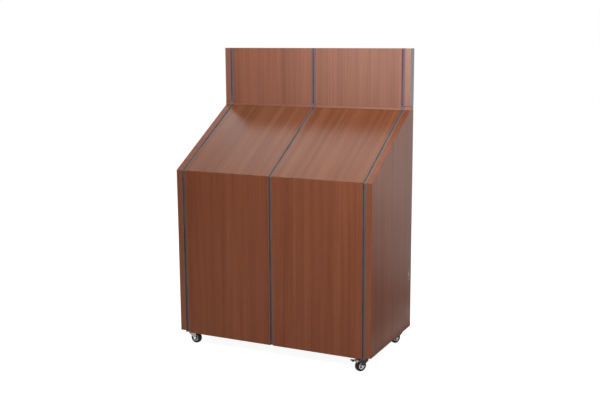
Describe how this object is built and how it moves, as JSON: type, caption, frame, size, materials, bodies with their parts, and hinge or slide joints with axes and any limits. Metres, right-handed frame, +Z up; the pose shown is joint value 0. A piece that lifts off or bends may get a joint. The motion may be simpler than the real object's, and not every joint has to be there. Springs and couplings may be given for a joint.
{
  "type": "book drop box",
  "caption": "Wheeled book return cabinet with a sloping front and header board; books enter a flapped rear slot and slide down a chute onto a padded floor behind a locking door.",
  "frame": {"origin": "on the floor, under the middle of the part's bounding box", "axes": "+Z up; -Y is the sloping front, +Y the rear with the slot and the door; +X is to the right of someone facing the sloping front"},
  "size_m": [0.9, 0.521, 1.292],
  "materials": {
    "walnut_laminate": "satin red-brown wood-grain laminate",
    "batten_wood": "plain planed softwood",
    "chute_laminate": "smooth pale grey laminate",
    "dark_profile": "satin slate-grey coated aluminium",
    "brushed_metal": "brushed",
    "bright_metal": "polished",
    "dark_metal": "dark bronze lacquer",
    "zinc_steel": "bright zinc plate",
    "tyre_rubber": "matt black rubber",
    "wheel_plastic": "light grey moulded",
    "pad_felt": "charcoal felt over foam"
  },
  "bodies": {
    "cabinet": {"side_panel_left": "walnut_laminate", "side_panel_right": "walnut_laminate", "base_panel": "walnut_laminate", "top_crossrail": "walnut_laminate", "header_rail": "walnut_laminate", "header_post_left": "walnut_laminate", "header_post_right": "walnut_laminate", "header_core": "batten_wood", "header_back_panel": "walnut_laminate", "rear_slot_panel": "walnut_laminate", "slot_frame": "brushed_metal", "flap_pin": "bright_metal", "chute_board": "chute_laminate", "chute_cleats": "batten_wood", "floor_pad": "pad_felt", "door_hinge_fixed": "bright_metal", "strike_plate": "dark_metal", "caster_plates": "zinc_steel", "caster_screws": "zinc_steel", "front_panel_left": "walnut_laminate", "front_panel_right": "walnut_laminate", "trim_lower_left": "dark_profile", "trim_lower_centre": "dark_profile", "trim_lower_right": "dark_profile", "slope_panel_left": "walnut_laminate", "slope_panel_right": "walnut_laminate", "trim_slope_left": "dark_profile", "trim_slope_centre": "dark_profile", "trim_slope_right": "dark_profile", "header_panel_left": "walnut_laminate", "header_panel_right": "walnut_laminate", "trim_header_left": "dark_profile", "trim_header_centre": "dark_profile", "trim_header_right": "dark_profile", "front_stiles": "batten_wood", "slope_rafters": "batten_wood"},
    "door": {"rear_door": "walnut_laminate", "door_hinge_moving": "bright_metal", "lock_barrel": "bright_metal", "door_handle": "bright_metal"},
    "lock": {"lock_cam": "bright_metal"},
    "flap": {"slot_flap": "brushed_metal"},
    "fork_front_left": {"caster_fork_front_left": "zinc_steel", "caster_axle_front_left": "zinc_steel"},
    "wheel_front_left": {"caster_hub_front_left": "wheel_plastic", "caster_tyre_front_left": "tyre_rubber"},
    "fork_front_right": {"caster_fork_front_right": "zinc_steel", "caster_axle_front_right": "zinc_steel"},
    "wheel_front_right": {"caster_hub_front_right": "wheel_plastic", "caster_tyre_front_right": "tyre_rubber"},
    "pedal_front_right": {"brake_pedal_front_right": "zinc_steel"},
    "fork_rear_left": {"caster_fork_rear_left": "zinc_steel", "caster_axle_rear_left": "zinc_steel"},
    "wheel_rear_left": {"caster_hub_rear_left": "wheel_plastic", "caster_tyre_rear_left": "tyre_rubber"},
    "pedal_rear_left": {"brake_pedal_rear_left": "zinc_steel"},
    "fork_rear_right": {"caster_fork_rear_right": "zinc_steel", "caster_axle_rear_right": "zinc_steel"},
    "wheel_rear_right": {"caster_hub_rear_right": "wheel_plastic", "caster_tyre_rear_right": "tyre_rubber"}
  },
  "joints": [
    {"name": "door_swing", "type": "hinge", "parent": "cabinet", "child": "door", "pos_m": [-0.424, 0.23648, 0.3055], "axis": [0, 0, 1], "range_deg": [0, 165]},
    {"name": "lock_turn", "type": "hinge", "parent": "door", "child": "lock", "pos_m": [0.397, 0.23248, 0.3055], "axis": [0, -1, 0], "range_deg": [0, 90]},
    {"name": "flap_swing", "type": "hinge", "parent": "cabinet", "child": "flap", "pos_m": [0, 0.20548, 0.98], "axis": [-1, 0, 0], "range_deg": [0, 60]},
    {"name": "swivel_front_left", "type": "hinge", "parent": "cabinet", "child": "fork_front_left", "pos_m": [-0.42, -0.18952, 0.0547], "axis": [0, 0, 1], "continuous": true},
    {"name": "spin_front_left", "type": "hinge", "parent": "fork_front_left", "child": "wheel_front_left", "pos_m": [-0.40402, -0.19036, 0.024], "axis": [0.0523, 0.9986, 0], "continuous": true},
    {"name": "swivel_front_right", "type": "hinge", "parent": "cabinet", "child": "fork_front_right", "pos_m": [0.402, -0.20052, 0.0547], "axis": [0, 0, 1], "continuous": true},
    {"name": "spin_front_right", "type": "hinge", "parent": "fork_front_right", "child": "wheel_front_right", "pos_m": [0.394, -0.21438, 0.024], "axis": [0.866, -0.5, 0], "continuous": true},
    {"name": "pedal_front_right", "type": "hinge", "parent": "fork_front_right", "child": "pedal_front_right", "pos_m": [0.3865, -0.22737, 0.0485], "axis": [0.866, -0.5, 0], "range_deg": [0, 8]},
    {"name": "swivel_rear_left", "type": "hinge", "parent": "cabinet", "child": "fork_rear_left", "pos_m": [-0.407, 0.18648, 0.0547], "axis": [0, 0, 1], "continuous": true},
    {"name": "spin_rear_left", "type": "hinge", "parent": "fork_rear_left", "child": "wheel_rear_left", "pos_m": [-0.40153, 0.17145, 0.024], "axis": [0.9397, 0.342, 0], "continuous": true},
    {"name": "pedal_rear_left", "type": "hinge", "parent": "fork_rear_left", "child": "pedal_rear_left", "pos_m": [-0.3964, 0.15735, 0.0485], "axis": [0.9397, 0.342, 0], "range_deg": [0, 8]},
    {"name": "swivel_rear_right", "type": "hinge", "parent": "cabinet", "child": "fork_rear_right", "pos_m": [0.408, 0.19048, 0.0547], "axis": [0, 0, 1], "continuous": true},
    {"name": "spin_rear_right", "type": "hinge", "parent": "fork_rear_right", "child": "wheel_rear_right", "pos_m": [0.40049, 0.17635, 0.024], "axis": [0.8829, -0.4695, 0], "continuous": true}
  ]
}
